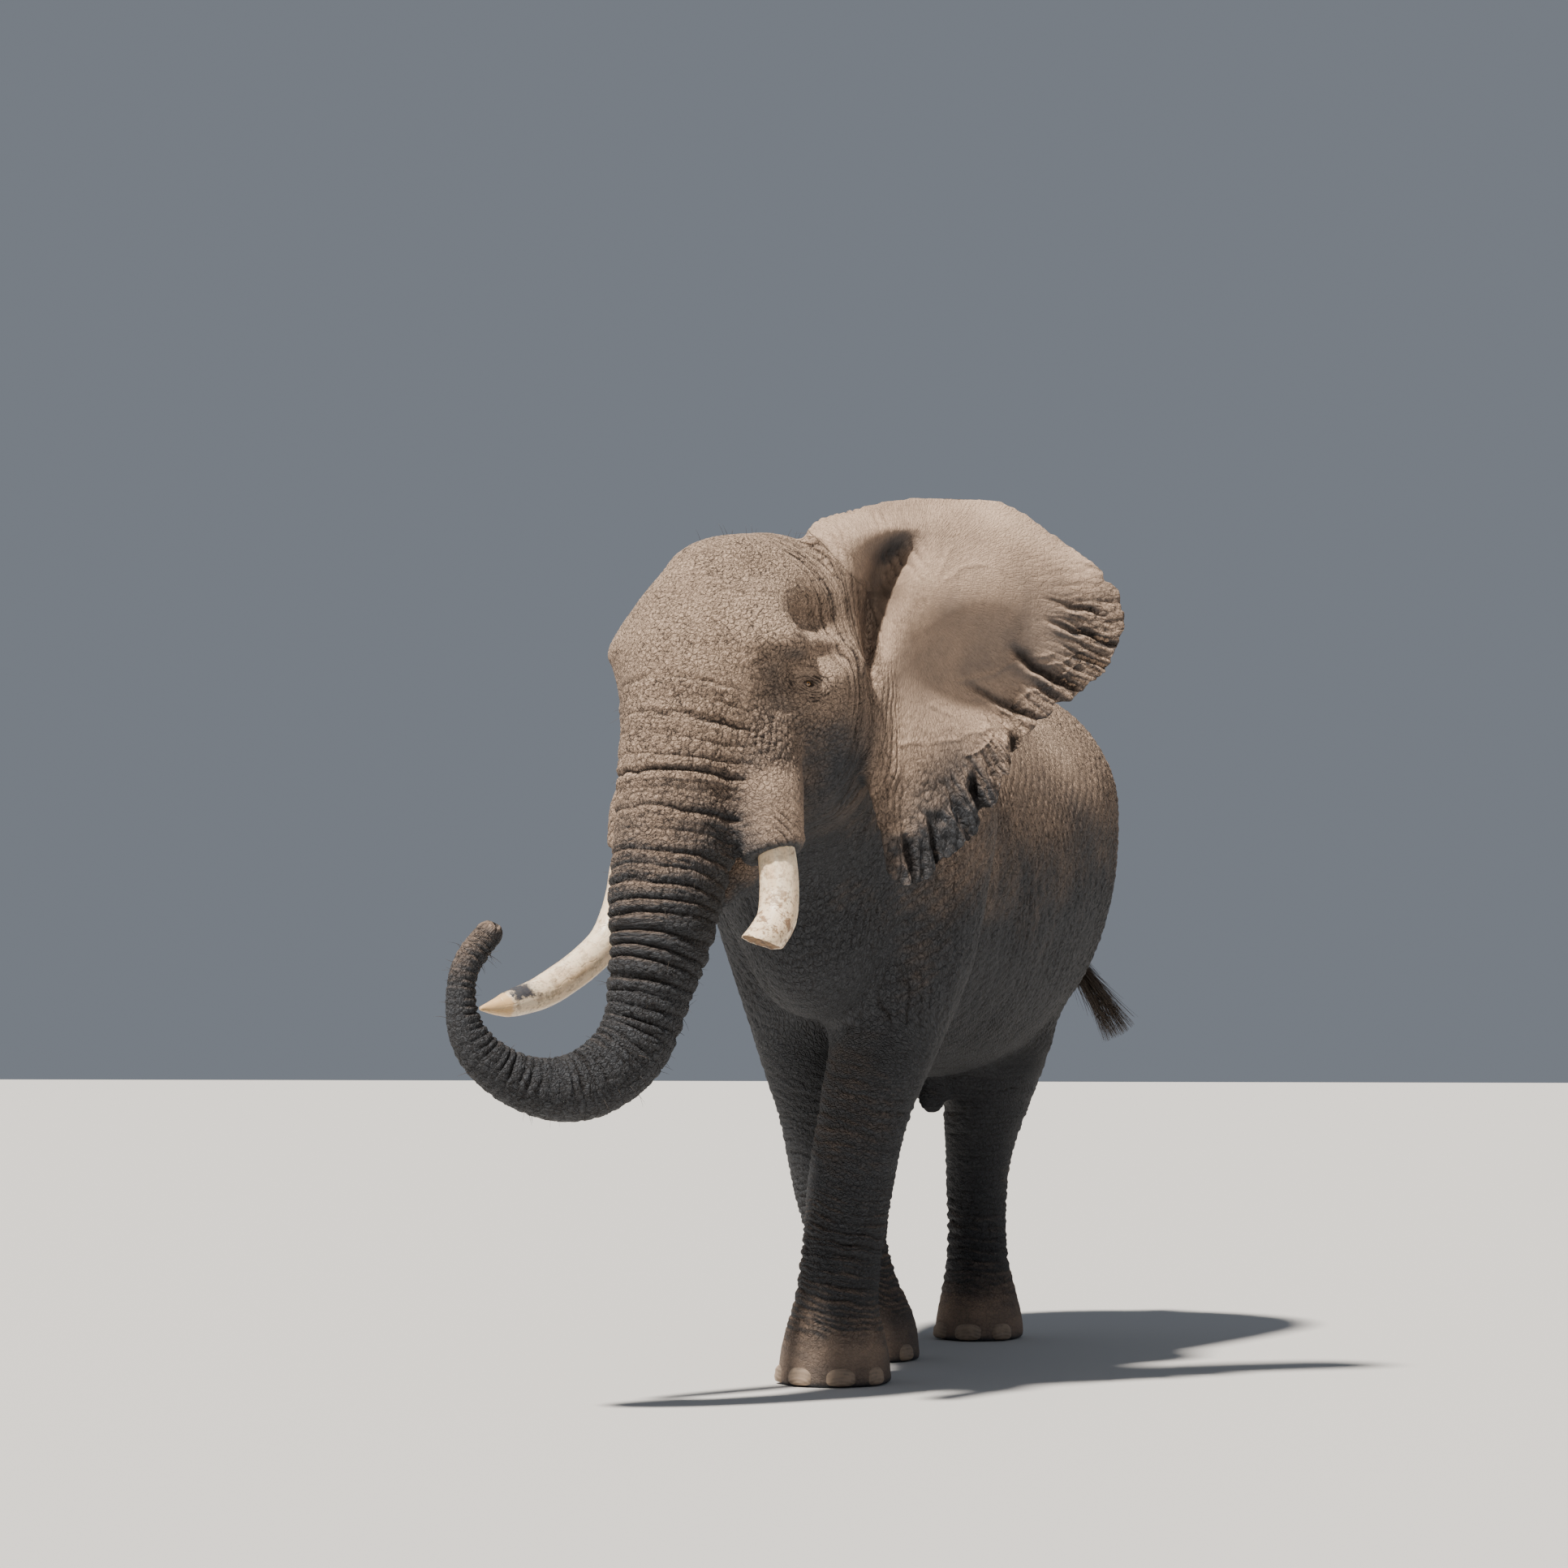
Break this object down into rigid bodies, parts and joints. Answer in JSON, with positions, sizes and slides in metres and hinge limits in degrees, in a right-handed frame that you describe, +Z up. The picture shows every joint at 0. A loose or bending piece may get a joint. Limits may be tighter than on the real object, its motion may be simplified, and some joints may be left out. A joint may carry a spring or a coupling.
{
  "type": "african bush elephant",
  "caption": "Mature bull elephant walking with its trunk curled forward, one ear spread wide, one long pointed tusk and one broken short.",
  "frame": {"origin": "middle of the animal's bounding box on plan, at the level of its soles", "axes": "+Z up, the animal walks towards -Y, its left side is +X"},
  "size_m": [2.3203, 5.0126, 3.4942],
  "materials": {
    "hide": "matt, deeply creased, dusty on its upper faces",
    "ivory": "satin, with brown stains and fine cracks",
    "eye": "wet gloss",
    "nail": "matt horn with fine growth lines",
    "hair": "wiry, slightly glossy strands"
  },
  "bodies": {
    "root": {"ear_left": "hide", "ear_right": "hide", "eye_left": "eye", "eye_right": "eye", "foreleg_left": "hide", "foreleg_right": "hide", "head": "hide", "hindleg_left": "hide", "hindleg_right": "hide", "nail_foreleg_left_1": "nail", "nail_foreleg_left_2": "nail", "nail_foreleg_left_3": "nail", "nail_foreleg_left_4": "nail", "nail_foreleg_right_1": "nail", "nail_foreleg_right_2": "nail", "nail_foreleg_right_3": "nail", "nail_foreleg_right_4": "nail", "nail_hindleg_left_1": "nail", "nail_hindleg_left_2": "nail", "nail_hindleg_left_3": "nail", "nail_hindleg_right_1": "nail", "nail_hindleg_right_2": "nail", "nail_hindleg_right_3": "nail", "neck": "hide", "tail": "hide", "tail_brush": "hair", "torso": "hide", "trunk_1": "hide", "trunk_2": "hide", "trunk_3": "hide", "trunk_4": "hide", "tusk_left": "ivory", "tusk_right": "ivory"}
  },
  "joints": []
}
